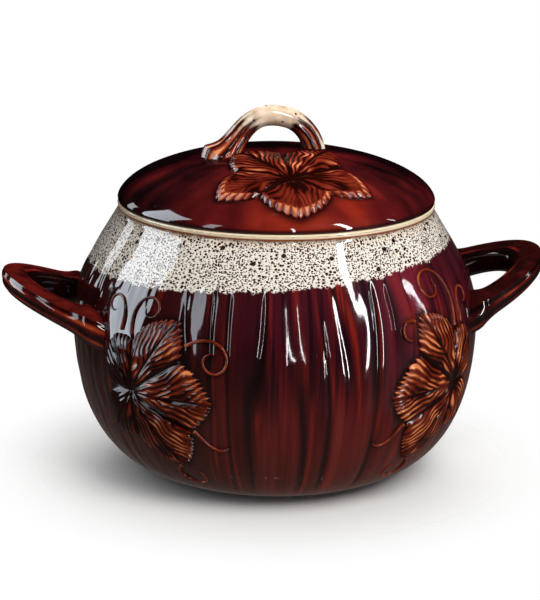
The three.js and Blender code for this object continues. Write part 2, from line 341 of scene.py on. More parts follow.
def trailTree():
    # a bead of slip trailed along a line, as thick as the line's own girth says
    tree, given = growTree("slipTrail", {"Sides": 10, "Bead Radius": 0.001})
    line = output(tree, "GeometryNodeMeshToCurve", {"Mesh": given["Geometry"]})
    circle = output(tree, "GeometryNodeCurvePrimitiveCircle", {
        "Resolution": given["Sides"], "Radius": given["Bead Radius"]})
    bead = output(tree, "GeometryNodeCurveToMesh", {
        "Curve": line, "Profile Curve": circle, "Scale": named(tree, "girth"), "Fill Caps": True})
    return closeTree(storeValue(bead, "ridge", named(tree, "glow")), given["Material"])


wheel, ribs, trail = wheelTree(), ribTree(), trailTree()
print("node trees built")


# what the glazes are mixed from

def objectPlace(tree):
    return output(tree, "ShaderNodeTexCoord", key="Object")


def attribute(tree, label):
    return output(tree, "ShaderNodeAttribute", key="Fac", attribute_name=label)


def noise(place, scale, detail=2.0, roughness=0.5, key=0):
    return output(place.tree, "ShaderNodeTexNoise", {
        "Vector": place, "Scale": scale, "Detail": detail, "Roughness": roughness}, key)


def streaks(tree, around, upright, detail=2.0, roughness=0.5):
    # noise that streaks up and down a round piece
    x, y, z = split(objectPlace(tree))
    ring = (x * x + y * y).math("SQRT") / around
    return noise(joined(x / ring, y / ring, z * upright), 1.0, detail, roughness)


def scattered(place, scale, randomness=1.0, dimensions="3D"):
    # distance to the nearest of many scattered spots, and a number of 0 to 1 that is that spot's own
    cells = {"Vector": place, "Scale": scale, "Randomness": randomness}
    made = addNode(place.tree, "ShaderNodeTexVoronoi", cells, voronoi_dimensions=dimensions).outputs
    return Term(place.tree, made["Distance"]), split(Term(place.tree, made["Color"]))[0]


def colour(red, green, blue):
    # a colour as picked on screen, 0 to 255, in linear light
    return tuple((c / 255 / 12.92 if c <= 10 else ((c / 255 + 0.055) / 1.055) ** 2.4)
                 for c in (red, green, blue)) + (1.0,)


def ramp(value, stops):
    made = addNode(value.tree, "ShaderNodeValToRGB", {"Fac": value})
    points = made.color_ramp.elements
    while len(points) < len(stops):
        points.new(0.5)
    for point, (place, shade) in zip(points, stops):
        point.position = place
        point.color = colour(*shade)
    return Term(value.tree, made.outputs[0])


def coat(under, share, over):
    # one colour over another, as thick as share says
    under, over = (shade if isinstance(shade, Term) else colour(*shade) for shade in (under, over))
    return output(share.tree, "ShaderNodeMix", {0: share, 6: under, 7: over}, 2, data_type="RGBA")


glossSettings = {
    "glassy": 1.5,
    "cloud": (55.0, 3.0, 0.6), "duller": 2.2, "dull": (0.35, 0.75),  # patches that fired less glossy
    "waves": 230.0, "waveHeight": 0.02, "peel": 1500.0, "peelHeight": 0.0025,  # millimetres high
    "pits": 170.0, "pitSize": 0.07, "pitShare": 0.8, "pitDepth": 0.03,
    "shine": 0.5, "edgeOn": (0.5, 0.86, 1.0, 0.0), "edgePower": 3.0,  # from facing the eye, 0, to edge on, 1
}


def newGlaze(name, roughness, peel=1.0):
    # a clear hard gloss that varies a little, over a surface with faint waves, orange peel and pinholes
    look = glossSettings
    material = bpy.data.materials.new(name)
    material.use_nodes = True
    tree = material.node_tree
    shader = tree.nodes["Principled BSDF"].inputs
    shader["IOR"].default_value = look["glassy"]
    spot = objectPlace(tree)
    cloud = noise(spot, *look["cloud"])
    cloud.between(*look["dull"], roughness, roughness * look["duller"]).into(shader["Roughness"])
    distance, chance = scattered(spot, look["pits"])
    pit = distance.between(look["pitSize"], 0.0) * chance.math("GREATER_THAN", look["pitShare"])
    height = noise(spot, look["waves"], 1.0) * look["waveHeight"]
    height = height + noise(spot, look["peel"], 1.0) * look["peelHeight"] - pit * look["pitDepth"]
    uneven = {"Strength": 1.0, "Distance": peel * mm, "Height": height}
    output(tree, "ShaderNodeBump", uneven, "Normal").into(shader["Normal"])
    return material, tree, shader


def calmEdgeOn(tree, shader):
    # mirrors less where it is seen edge on, or lamps behind the pot would whiten the lid and handles
    facing = output(tree, "ShaderNodeLayerWeight", {"Blend": 0.5}, "Facing")
    level = facing.between(*glossSettings["edgeOn"]).math("POWER", glossSettings["edgePower"])
    (level * glossSettings["shine"]).into(shader["Specular IOR Level"])


def millimetres(tree):
    return [part / mm for part in split(objectPlace(tree))]


# brown glaze of the belly, with its cream band

brownSettings = {
    "black": (14, 4, 6), "maroon": (48, 8, 12), "oxblood": (84, 18, 19), "rust": (112, 38, 34),
    # plum is a sheen painted for a reflection of the sky, thin is glaze running thin with a painted bluish
    # sheen, chocolate is a painted reflection of the table
    "plumSheen": (62, 16, 30), "chocolateSheen": (84, 34, 22), "umber": (42, 13, 7), "thin": (122, 36, 50),
    "night": (22, 6, 16), "red": (132, 36, 22), "streak": (140, 34, 20), "roughness": 0.04,
}
bellySettings = {
    # streaks: how many round and upwards, detail, roughness
    "fine": (34.0, 16.0), "broad": (9.0, 5.0), "trickles": (26.0, 7.0, 1.0), "worn": (90.0, 30.0, 2.0, 0.6),
    "fineShare": 0.5, "broadShare": 0.7, "swellShare": -0.2,
    "stops": ((0.2, "black"), (0.44, "maroon"), (0.62, "oxblood"), (0.9, "rust")),
    # zones: from one place to another, and the strength at both
    "low": (95, 40, 0.0, 0.2), "left": (-20, -50, 0.0, -0.12), "plumSheen": (74, 126, 0.0, 0.6),
    # thin: glaze running thin on the right flank, with a painted bluish sheen over it
    "thinSheenLeft": (0.36, 0.48), "thinSheenRight": (0.76, 0.62), "thin": (50, 100, 0.0, 0.6),
    # chocolate: a lighter brown painted low on the belly, for the table's reflection
    "night": (50, 90, 0.2, 0.75), "trickled": (0.5, 0.62), "chocolateSheen": (62, 20, 0.0, 0.45),
    "umber": (-0.1, -0.5, 0.0, 0.6), "bared": (0.3, 0.65, 0.1, 0.85), "inGrooves": 0.92, "inPools": 0.8,
}
bandSettings = {
    "middle": 137, "lean": 7.3, "ragged": 4.0, "runs": (26.0, 14.0, 3.0, 0.6),  # the cream's lower edge
    "edgeSoft": 0.5, "overSpecks": 0.9,
    "cream": (234, 226, 215), "tan": (200, 168, 134), "warm": (155, 161.5, 0.0, 0.5),
    "speck": (44, 26, 20), "speckTop": (160, 162, 1.0, 0.0), "speckSoft": 0.06,
    "girth": 100, "slant": 1.35, "shaken": 0.6, "shakeFine": 900.0,  # the band is unrolled for its specks
    "specks": [(2.3, 0.21, 0.36), (1.5, 0.36, 0.15)],  # how far apart, and their size in two kinds of place
    "zoneFine": 45.0, "zones": (0.35, 0.65), "scatter": 0.85, "ownSize": (0.6, 1.15),
    "bigApart": 9.0, "bigSize": (0.2, 0.14), "bigChance": (146, 154, 0.92, 0.6),
    "rust": (146, 76, 38), "rustZone": (160.5, 161.9), "rustRuns": (40.0, 60.0), "rustUneven": 3.0,
    "edge": (246, 226, 194), "edgeZone": (162.2, 163.1),
    "inside": (58, 24, 16), "insideSkin": (0.6, 0.9), "clay": (188, 150, 112), "claySkin": (1.6, 1.9),
}


def brownStops(stops):
    return [(place, brownSettings[shade]) for place, shade in stops]


def bellyBrown(tree, x, height, right):
    # deep where the glaze has pooled, and a little redder where it runs thin, with painted reflections: plum
    # up high for the sky, a bluish sheen on the right flank, chocolate low down for the table
    look = bellySettings
    fine, broad = streaks(tree, *look["fine"]), streaks(tree, *look["broad"])
    share = fine * look["fineShare"] + broad * look["broadShare"]
    share = share + attribute(tree, "swell") * look["swellShare"]
    share = share + height.between(*look["low"]) + x.between(*look["left"])
    brown = ramp(share, brownStops(look["stops"]))
    flank = right.between(*look["thinSheenLeft"]) * right.between(*look["thinSheenRight"])
    trickles = streaks(tree, *look["trickles"]).between(*look["trickled"])
    bared = streaks(tree, *look["worn"]).between(*look["bared"])
    coats = [
        # plum up high is a painted reflection of the sky; thin on the right flank is glaze running thin with
        # a painted bluish sheen
        (height.between(*look["plumSheen"]), "plumSheen"), (flank * height.between(*look["thin"]), "thin"),
        (trickles * height.between(*look["night"]), "night"),
        # chocolate low down is a painted reflection of the table
        (height.between(*look["chocolateSheen"]), "chocolateSheen"), (right.between(*look["umber"]), "umber"),
        # red along the brinks of the grooves, black down in them and against the leaves
        (attribute(tree, "brink") * bared, "streak"),
        (attribute(tree, "groove") * look["inGrooves"], "black"),
        (attribute(tree, "pool") * look["inPools"], "black"),
    ]
    for share, shade in coats:
        brown = coat(brown, share, brownSettings[shade])
    return brown


def bandSpecks(tree, x, y, height):
    # specks spread over the band laid flat, whose two ends meet at the back
    look = bandSettings
    spot = objectPlace(tree)
    shake = split(noise(spot, look["shakeFine"], 1.0, key="Color"))
    angle = x.math("ARCTAN2", y * -1.0)
    flat = joined(angle * look["girth"] + (shake[0] - 0.5) * look["shaken"],
                  height * look["slant"] + (shake[1] - 0.5) * look["shaken"], 0.0)
    zone = noise(spot, look["zoneFine"])
    distance, chance = scattered(flat, 1 / look["bigApart"], dimensions="2D")
    chosen = chance.math("GREATER_THAN", height.between(*look["bigChance"]))
    speck = distance.between(*look["bigSize"]) * chosen
    for apart, small, large in look["specks"]:
        distance, chance = scattered(flat, 1 / apart, look["scatter"], "2D")
        size = zone.between(*look["zones"], small, large) * chance.between(0.0, 1.0, *look["ownSize"])
        speck = speck.math("MAXIMUM", (distance - size).between(look["speckSoft"], -look["speckSoft"]))
    return speck


def potGlaze():
    look = bandSettings
    material, tree, shader = newGlaze("potGlaze", brownSettings["roughness"])
    x, y, height = millimetres(tree)
    right = x / (x * x + y * y).math("SQRT")
    speck = bandSpecks(tree, x, y, height)
    cream = coat(look["cream"], height.between(*look["warm"]), look["tan"])
    cream = coat(cream, speck * height.between(*look["speckTop"]), look["speck"])
    # the cream has run down over the brown
    line = right * look["lean"] + look["middle"] + speck * look["overSpecks"]
    line = line + (streaks(tree, *look["runs"]) - 0.5) * (2 * look["ragged"])
    covered = (height - line).between(-look["edgeSoft"], look["edgeSoft"])
    glazed = coat(bellyBrown(tree, x, height, right), covered, cream)
    uneven = height + (streaks(tree, *look["rustRuns"]) - 0.5) * look["rustUneven"]
    skin = attribute(tree, "skin")
    coats = [(uneven.between(*look["rustZone"]), "rust"), (height.between(*look["edgeZone"]), "edge"),
             (skin.between(*look["insideSkin"]), "inside"), (skin.between(*look["claySkin"]), "clay")]
    for share, shade in coats:
        glazed = coat(glazed, share, look[shade])
    glazed.into(shader["Base Color"])
    return material


# glazes of the lid, of all relief and of the stem

lidSettings = {
    "cloud": (26.0, 3.0, 0.55), "rays": (7.0, 18.0, 1.0), "cloudShare": 1.1, "rayShare": 0.4, "base": -0.26,
    # zones: from one place to another, and the strength at both
    "front": (40, -80, 0.0, 0.42), "back": (-10, 50, 0.0, -0.28),
    "left": (20, -80, 0.0, -0.2), "right": (20, 70, 0.0, -0.32),
    "stops": ((0.3, "black"), (0.5, "maroon"), (0.72, "oxblood"), (1.0, "red")),
    "inPools": 0.85, "rim": (168.6, 166.6, 0.0, 0.8),
}


def lidGlaze():
    look = lidSettings
    material, tree, shader = newGlaze("lidGlaze", brownSettings["roughness"])
    calmEdgeOn(tree, shader)
    x, y, height = millimetres(tree)
    share = noise(objectPlace(tree), *look["cloud"]) * look["cloudShare"] + look["base"]
    share = share + streaks(tree, *look["rays"]) * look["rayShare"]
    share = share + y.between(*look["front"]) + y.between(*look["back"])
    share = share + x.between(*look["left"]) + x.between(*look["right"])
    brown = ramp(share, brownStops(look["stops"]))
    brown = coat(brown, attribute(tree, "pool") * look["inPools"], brownSettings["black"])
    brown = coat(brown, height.between(*look["rim"]), brownSettings["black"])
    under = attribute(tree, "skin").between(*bandSettings["insideSkin"])
    coat(brown, under, bandSettings["inside"]).into(shader["Base Color"])
    return material


reliefSettings = {
    # colours from the valleys to the ridges, roughness, shine, and whether that is calmed edge on
    "reliefGlaze": ([(0.05, (28, 3, 1)), (0.27, (76, 19, 9)), (0.72, (122, 44, 21)), (1.0, (218, 130, 78))],
                    0.08, 0.25, False),
    "handleGlaze": ([(0.1, (14, 3, 3)), (0.32, (46, 8, 8)), (0.6, (100, 22, 17)), (1.0, (186, 78, 34))],
                    0.05, 0.5, True),
    "lidLeafGlaze": ([(0.05, (32, 4, 2)), (0.27, (88, 21, 12)), (0.7, (136, 48, 27)), (1.0, (218, 134, 94))],
                     0.07, 0.5, True),
}
reliefCloud, reliefUneven, reliefPeel = 120.0, 0.5, 0.5


def reliefGlaze(name, stops, roughness, shine, calm):
    # amber on the ridges, where the glaze runs thin, and near black where it pools
    material, tree, shader = newGlaze(name, roughness, reliefPeel)
    shader["Specular IOR Level"].default_value = shine
    if calm:
        calmEdgeOn(tree, shader)
    share = (noise(objectPlace(tree), reliefCloud) - 0.5) * reliefUneven + attribute(tree, "ridge")
    ramp(share, stops).into(shader["Base Color"])
    return material


stemSettings = {
    "roughness": 0.07, "cloud": 160.0, "uneven": 0.5,
    "brown": [(0.05, (40, 6, 5)), (0.5, (112, 30, 16)), (0.85, (164, 72, 38)), (1.15, (214, 140, 96))],
    "cream": [(0.25, (206, 168, 132)), (0.66, (240, 222, 200))],
    "specks": 230.0, "speckSize": (0.22, 0.13), "speckShare": 0.45,
    "onRidges": 0.5, "edgeUneven": 0.4, "edge": (0.36, 0.66),  # how the cream ends
}


def stemGlaze():
    look = stemSettings
    material, tree, shader = newGlaze("stemGlaze", look["roughness"], reliefPeel)
    calmEdgeOn(tree, shader)
    spot, ridge = objectPlace(tree), attribute(tree, "ridge")
    cloud = noise(spot, look["cloud"])
    brown = ramp((cloud - 0.5) * look["uneven"] + ridge, look["brown"])
    distance, chance = scattered(spot, look["specks"])
    dark = distance.between(*look["speckSize"]) * chance.math("GREATER_THAN", look["speckShare"])
    cream = coat(ramp(cloud, look["cream"]), dark, bandSettings["speck"])
    edge = (ridge - 0.5) * look["onRidges"] + attribute(tree, "crest") + (cloud - 0.5) * look["edgeUneven"]
    coat(brown, edge.between(*look["edge"]), cream).into(shader["Base Color"])
    return material


potFinish, lidFinish = potGlaze(), lidGlaze()
leafFinish, handleFinish, lidLeafFinish = (reliefGlaze(name, *look) for name, look in reliefSettings.items())
stemFinish = stemGlaze()
print("glazes mixed")


# pot body

potShape = {
    "foot": 55, "belly": 122, "bellyHeight": 92, "fullness": 0.64, "rim": 95, "rimHeight": 165,
    "shoulderFullness": 0.42, "lean": 30, "lead": 36, "lip": 4, "proud": 1, "rimWidth": 8,
    "lipFace": [(0.15, 3.2), (0, 2), (0, 1)],  # in from the rim, and down from its top
    "lipRound": 1.2, "mouthRound": 1, "mouthDepth": 9, "wall": 7.5, "floor": 9, "floorRound": (4, 0.2),
    "floorClear": 1, "floorMiddle": 0.6,
    "footRing": 9, "footRound": 1, "recess": 1.5, "rows": 92, "insideRows": 30, "stepsRound": 680,
    "curveSteps": 400, "lineSteps": 1200, "lipRows": (5, 6, 5),
    "drawn": {
        "Swells": 8.0, "Swell Depth": 0.5 * mm, "Swell Drift": 11.0, "Seed": 3.0,
        "Grooves": 44.0, "Groove Depth": 1.0 * mm, "Groove Width": 0.13, "Groove Stray": 3.0,
        "Drawn From": 6 * mm, "Drawn To": 143 * mm, "Fade": 14 * mm, "Flank Share": 0.3,
        "Ripples": 13.0, "Ripple Depth": 0.65 * mm},
}


def bodyLine(shape):
    # radius and height up the outside, from the foot to just under the lip
    lipR, lipZ = shape["rim"] - shape["proud"], shape["rimHeight"] - shape["lip"]
    lean = math.radians(shape["lean"])
    foot, belly, middle = shape["foot"], shape["belly"], shape["bellyHeight"]
    low = bezier([(foot, 0), (foot + shape["fullness"] * (belly - foot), 0),
                  (belly, middle * (1 - shape["fullness"])), (belly, middle)], shape["curveSteps"])
    high = bezier([(belly, middle), (belly, middle + shape["shoulderFullness"] * (lipZ - middle)),
                   (lipR + shape["lead"] * math.sin(lean), lipZ - shape["lead"] * math.cos(lean)),
                   (lipR, lipZ)], shape["curveSteps"])
    return evenly(np.vstack([low, high[1:]]), shape["lineSteps"])


bellyLine = bodyLine(potShape)
bellyTangent = tangents(bellyLine)
bellyLength = lengthsAlong(bellyLine)


def onBelly(length, height):
    # radius and height of a point that far up the outside, moved out by height
    r, z = (np.interp(length, bellyLength, bellyLine[:, k]) for k in (0, 1))
    tr, tz = (np.interp(length, bellyLength, bellyTangent[:, k]) for k in (0, 1))
    return r + tz * height, z - tr * height


def bellyRadiusAt(z):
    return np.interp(z, bellyLine[:, 1], bellyLine[:, 0])


def bellyLengthAt(z):
    return np.interp(z, bellyLine[:, 1], bellyLength)


def arcPoints(centre, radius, fromDegrees, toDegrees, count):
    turn = np.radians(np.linspace(fromDegrees, toDegrees, count))
    return np.stack([centre[0] + radius * np.cos(turn), centre[1] + radius * np.sin(turn)], -1)


def profileOf(parts, skins, lift):
    # the parts of a profile as one line, each with the kind of skin that it gets
    skin = np.concatenate([np.full(len(part), kind) for part, kind in zip(parts, skins)])
    flat = np.vstack([np.asarray(part, float) for part in parts])
    return np.stack([flat[:, 0], np.zeros(len(flat)), flat[:, 1] + lift], -1), skin


outsideSkin, insideSkin, claySkin = 0.0, 1.0, 2.0


def potProfile(shape):
    rim, top, recess, floor = shape["rim"], shape["rimHeight"], shape["recess"], shape["floor"]
    mouth, mouthFoot = rim - shape["rimWidth"], top - shape["mouthDepth"]
    ringInside = shape["foot"] - shape["footRing"]
    under = [(0, recess), (ringInside / 2, recess), (ringInside - recess, recess), (ringInside, 0),
             (shape["foot"] - shape["footRound"], 0)]
    outer = evenly(bellyLine, shape["rows"])[1:]
    face = np.array([(rim - inward, top - down) for inward, down in shape["lipFace"]])
    outerRound, innerRound = shape["lipRound"], shape["mouthRound"]
    rows = shape["lipRows"]
    lip = np.vstack([
        evenly(face, rows[0]), arcPoints((rim - outerRound, top - outerRound), outerRound, 0, 90, rows[1]),
        arcPoints((mouth + innerRound, top - innerRound), innerRound, 90, 180, rows[2])])
    inner = np.stack(onBelly(np.linspace(bellyLength[-1], 0, shape["insideRows"]), -shape["wall"]), -1)
    inner = inner[(inner[:, 1] < mouthFoot) & (inner[:, 1] > floor + shape["floorClear"])]
    corner, (inward, up) = inner[-1, 0], shape["floorRound"]
    bottom = [(corner - inward, floor + up), (corner * shape["floorMiddle"], floor), (0, floor)]
    parts = [under, outer, lip, [(mouth, mouthFoot)], inner, bottom]
    return profileOf(parts, [claySkin, outsideSkin, outsideSkin] + 3 * [insideSkin], 0)


def threw(name, profile, skin, shape, finish):
    line = linePiece(name, profile, {"skin": skin})
    sizes = {"Steps Round": shape["stepsRound"] + 1, "Rows": len(profile), **shape["drawn"]}
    return grow(line, wheel, sizes, finish)


potBody = threw("potBody", *potProfile(potShape), potShape, potFinish)
print("pot body:", len(potBody.data.polygons), "faces")


# lid shell

lidShape = {
    "rim": 95, "seat": 165, "rise": 29.5, "edge": 2, "edgeRound": 11.3, "edgeLean": 2.3, "crown": 62,
    "wall": 6.5, "undercut": 1.2, "seatStep": (0.35, 0.45), "flange": 85.8, "flangeWall": 6,
    "flangeDepth": 8, "flangeRound": 0.8, "clear": 0.5, "rows": 90, "insideRows": 40, "stepsRound": 300,
    "curveSteps": 900,
    "drawn": {
        "Swells": 2.6, "Swell Depth": 0.5 * mm, "Swell Drift": 4.0, "Seed": 8.0,
        "Drawn From": 168 * mm, "Drawn To": 193.5 * mm, "Fade": 6 * mm},
}


def domeCurve(shape):
    rim, edge, rise = shape["rim"], shape["edge"], shape["rise"]
    return bezier([(rim, edge), (rim - shape["edgeLean"], edge + shape["edgeRound"]),
                   (shape["crown"], rise), (0, rise)], shape["curveSteps"])


domeLine = domeCurve(lidShape)
domeTangent = tangents(domeLine)


def onDomeLine(radius, values):
    return np.interp(radius, domeLine[::-1, 0], values[::-1])


def onDome(radius, height):
    # radius and height of the dome above that radius, moved out by height
    tr, tz = (onDomeLine(radius, domeTangent[:, k]) for k in (0, 1))
    return radius + tz * height, onDomeLine(radius, domeLine[:, 1]) - tr * height + lidShape["seat"]


def lidProfile(shape):
    flange, depth, bevel = shape["flange"], shape["flangeDepth"], shape["flangeRound"]
    inside = flange - shape["flangeWall"]
    normal = np.stack([domeTangent[:, 1], -domeTangent[:, 0]], -1)
    under = evenly(domeLine - normal * shape["wall"], shape["insideRows"])[::-1]
    under = under[under[:, 0] < inside - shape["clear"]]
    under[0, 0] = 0
    ring = [(inside, under[-1, 1] - shape["undercut"]), (inside, bevel - depth), (inside + bevel, -depth),
            (flange - bevel, -depth), (flange, bevel - depth), (flange, 0)]
    inward, up = shape["seatStep"]
    seat = [(shape["rim"] - shape["undercut"], 0), (shape["rim"] - inward, up)]
    parts = [under, ring, seat, evenly(domeLine, shape["rows"])]
    return profileOf(parts, 2 * [insideSkin] + 2 * [outsideSkin], shape["seat"])


lidShell = threw("lidShell", *lidProfile(lidShape), lidShape, lidFinish)
print("lid shell:", len(lidShell.data.polygons), "faces")


# side handles

handleShape = {
    "reach": 42.5, "span": 80, "rootHeight": 100, "rise": 17, "width": 20, "thickness": 15.5,
    "squareness": 0.74, "sink": 16, "flare": 1.25, "flarePower": 8, "bury": 4.5,
    "trumpet": 0.34, "trumpetReach": 11, "trumpetPower": 2.2, "steps": 110, "sides": 72,
    # which way, how much higher the roots, degrees that the back root leans up, how much painted light the
    # outward side gets
    "pair": {"left": (-1, 0, 0, 0.36), "right": (1, 6, 4.5, 0.18)},
    "grooveStep": 30, "grooveAt": 22, "grooveFrom": -50, "grooveTo": 34, "grooveFade": 6,
    "grooves": {"Rib Height": 0.35 * mm, "Rib Sharpness": 3.0, "Rib Shade": 0.35},
    "lines": [(108, 5, 0.6), (7, 4, 0.6), (-23, 4, 0.55)],  # degrees round the strap, width, strength
    "patches": (0.55, 0.45, 7, 0.05),  # bare on the whole, how unevenly, and waves along and round
    # painted light: the strap's outward side is lighter, from where it turns to where it is full
    "glow": 0.1, "litFrom": -0.4, "litTo": 0.6, "litTurn": 0.3,
}


def strapRings(shape, lift, lean):
    # rings of points along the strap, each with its turn from one root to the other
    rootHeight = shape["rootHeight"] + lift
    half = shape["span"] / 2
    rootX = math.sqrt(bellyRadiusAt(rootHeight) ** 2 - half ** 2) - shape["sink"]
    run = potShape["belly"] + shape["reach"] - shape["width"] / 2 - rootX
    slope = shape["rise"] / (run - shape["sink"])
    sweep = np.linspace(-math.pi / 2, math.pi / 2, shape["steps"])
    around = np.linspace(0, fullTurn, shape["sides"], endpoint=False)
    reach, y = run * np.cos(sweep), half * np.sin(sweep)
    z = rootHeight + (reach - shape["sink"]) * slope + y * math.tan(math.radians(lean))
    centre = np.stack([rootX + reach, y, z], -1)
    out = np.stack([half * np.cos(sweep), run * np.sin(sweep)], -1)
    out /= np.linalg.norm(out, axis=1)[:, None]
    across = np.stack([out[:, 0], out[:, 1], out[:, 0] * slope], -1)
    clear = np.hypot(centre[:, 0], centre[:, 1]) - bellyRadiusAt(centre[:, 2])
    trumpet = np.clip(1 - clear / shape["trumpetReach"], 0, 1) ** shape["trumpetPower"]
    swell = 1 + (shape["flare"] - 1) * np.sin(sweep) ** shape["flarePower"] + shape["trumpet"] * trumpet
    full = [np.sign(part) * np.abs(part) ** shape["squareness"] for part in (np.cos(around), np.sin(around))]
    rings = centre[:, None] + (full[0] * swell[:, None])[..., None] * across[:, None] * shape["width"] / 2
    rings[..., 2] += full[1] * swell[:, None] * shape["thickness"] / 2
    radius = np.hypot(rings[..., 0], rings[..., 1])  # roots stop inside the clay of the wall
    wanted = np.maximum(radius, bellyRadiusAt(rings[..., 2]) - shape["bury"])
    rings[..., :2] *= (wanted / radius)[..., None]
    return rings, sweep[:, None], around


def sideHandle(name, side, lift, lean, thin):
    shape = handleShape
    rings, sweep, around = strapRings(shape, lift, lean)
    degrees = (np.degrees(around) + 180) % 360 - 180
    low, high, fade = shape["grooveFrom"], shape["grooveTo"], shape["grooveFade"]
    facing = smoothStep(low - fade, low + fade, degrees) * (1 - smoothStep(high - fade, high + fade, degrees))
    whole, uneven, wavesAlong, wavesRound = shape["patches"]
    bare = whole + uneven * np.sin(wavesAlong * sweep + wavesRound * degrees + side)
    lines = sum(strong * bump(degrees, at, width) for at, width, strong in shape["lines"])
    # painted light on the outward side of each strap, as much as thin says, more on the left handle
    lit = smoothStep(shape["litFrom"], shape["litTo"], np.cos(around - shape["litTurn"]))
    every = np.ones_like(sweep)
    values = {"ribPhase": every * (degrees - shape["grooveAt"]) / shape["grooveStep"],
              "ribGain": -every * facing, "glow": shape["glow"] + thin * lit + bare * lines}
    rings[..., :2] *= side
    return grow(ringsPiece(name, rings, values, flip=True), ribs, shape["grooves"], handleFinish)


handles = {label: sideHandle("handle" + label.title(), *own) for label, own in handleShape["pair"].items()}
print("handles drawn")


# leaves

leafShape = {
    "height": 71, "turn": 39, "reach": 57, "lobeFullness": 0.75, "edge": 1.5, "crown": 1.2, "sink": 1.5,
    "columns": 600, "rings": 80, "ribStep": 9.4, "ribAngle": 27, "ribStart": 11, "scallop": 0.08,
    "ribs": {"Rib Height": 0.5 * mm, "Rib Sharpness": 1.0}, "wander": 0.8, "wiggle": 0.3, "seed": 1.0,
    "rimFrom": 2.0, "rimStep": 5.0, "rimTo": -20,  # no beads
    "backLift": 0.0, "liftFrom": 0, "liftTo": 1,  # and no raised lobes
    # the left leaves drown in glaze towards the handle, and there painted shade darkens them
    "drownedAndShaded": 0.85, "bare": -0.06,
    "outline": [(0, 0.95), (34, 0.72), (55, 1.0), (86, 0.54), (113, 0.6),
                (180, 0.21), (238, 0.58), (272, 0.49), (305, 0.93), (336, 0.74)],
}
rightLeafShape = dict(leafShape, drownedAndShaded=0.0, bare=0.08)
lidLeafShape = {
    "forward": 58, "reach": 50, "lobeFullness": 0.75, "edge": 2.0, "crown": 1.2, "sink": 1.5,
    "columns": 600, "rings": 80, "ribStep": 7.0, "ribAngle": 30, "ribStart": 10, "scallop": 0.05,
    "ribs": {"Rib Height": 0.7 * mm, "Rib Sharpness": 0.9}, "wander": 1.1, "wiggle": 0.45, "seed": 4.0,
    "rimFrom": 0.82, "rimStep": 5.0, "rimTo": 100,  # beads along the front edge
    "backLift": 3.0, "liftFrom": 4, "liftTo": 34,  # the back lobes stand up towards the stem
    "drownedAndShaded": 0.0, "bare": 0.05,
    "outline": [(0, 0.66), (55, 0.5), (77, 0.92), (118, 0.66), (145, 1.0),
                (180, 0.72), (215, 1.0), (242, 0.66), (283, 0.92), (305, 0.5)],
}
pressSettings = {
    "firstRing": 0.02, "beadFade": 12, "scallopPower": 0.7, "rimWidth": 0.08, "liftEdge": (0.85, 1.0, 0.3),
    "crownPower": 0.5, "lumpFine": 1.6, "lumpSeed": 2, "lump": 0.35, "lumpEdge": 6,
    "vein": 0.9, "veinWidth": 0.9, "veinEdge": 10, "notch": 0.8, "notchEdge": 0.7, "notchWidth": 1.5,
    "hollow": 0.55, "hollowWidth": 6, "drop": 0.35, "dropFrom": 0.93, "lobeLift": 0.2,
    "roll": 0.8, "rollAt": 0.9, "rollWidth": 0.06, "dish": 0.5, "dishFrom": (0.4, 0.7),
    "thickAndShadedFrom": (-10, 24),  # glaze runs thicker, and shade is painted darker, from here to there
    "clearOfVein": (0.3, 1.6), "clearOfNotch": (0.4, 1.8), "clearOfMiddle": (3, 9),
    "gain": 0.75, "gainUneven": 0.4, "gainFine": 2.1, "gainSeed": 5, "gainByBeads": 0.6,
    "beadGain": 0.55, "beadRound": 0.6,
    # thick is glaze drowning the ribs and painted shade as well
    "glow": {"lumps": 0.22, "rolled": 0.3, "notched": -0.3, "raised": -0.2, "thick": -0.6},
    "edgeGlow": 0.12, "edgeGlowPower": 4,
    # the edge rounds over and runs down into the clay: share out, share up, share of the ribs
    "skirt": [(1.004, 0.7, 0.8), (1.008, 0.35, 0.4), (1.01, 0.0, 0.1)],
    "back": [1.01, 0.808, 0.5555, 0.303, 0.0606],  # rings of the closed back
}


wanderSettings = {
    "waves": [(0.11, 0.07, 0.5), (-0.09, 0.16, 0.35), (0.23, -0.13, 0.25), (0.05, 0.31, 0.2)],  # x, y, size
    "seedStep": 1.7, "waveStep": 2.1, "wiggleFine": 2.3, "wiggleSeed": 9,
}


def wander(x, y, seed):
    # a smooth uneven value of about -1 to 1
    look = wanderSettings
    return sum(size * np.sin(a * x + b * y + seed * (look["seedStep"] + i) + look["waveStep"] * i)
               for i, (a, b, size) in enumerate(look["waves"]))


def lobesAt(shape, degrees):
    # reach of the outline, nearness to a midrib, and the angles of that midrib and of the notch beside it
    angles = np.array([angle for angle, _ in shape["outline"]] + [360.0])
    reaches = np.array([reach for _, reach in shape["outline"]] + [shape["outline"][0][1]])
    i = np.clip(np.searchsorted(angles, degrees, side="right") - 1, 0, len(angles) - 2)
    share = (degrees - angles[i]) / (angles[i + 1] - angles[i])
    rising = reaches[i + 1] > reaches[i]
    midrib = np.where(rising, share, 1 - share) ** shape["lobeFullness"]
    low = np.minimum(reaches[i], reaches[i + 1])
    reach = (low + np.abs(reaches[i + 1] - reaches[i]) * midrib) * shape["reach"]
    tip = np.where(rising, angles[i + 1], angles[i])
    notch = np.where(rising, angles[i], angles[i + 1])
    return reach, midrib, np.radians(tip), np.radians(notch)


def ribRun(shape, along, across):
    # side ribs leave the midrib along it and bend away to the edge
    lean = math.tan(math.radians(shape["ribAngle"]))
    side = np.abs(across)
    back = (side + np.sqrt(side ** 2 + 4 * lean * side * shape["ribStart"])) / (2 * lean)
    return (along - back) / shape["ribStep"]


def straying(shape, x, y):
    # how far a rib strays from its even place, in ribs
    fine = wanderSettings["wiggleFine"]
    wiggle = wander(fine * y, fine * x, shape["seed"] + wanderSettings["wiggleSeed"])
    return shape["wander"] * wander(x, y, shape["seed"]) + shape["wiggle"] * wiggle


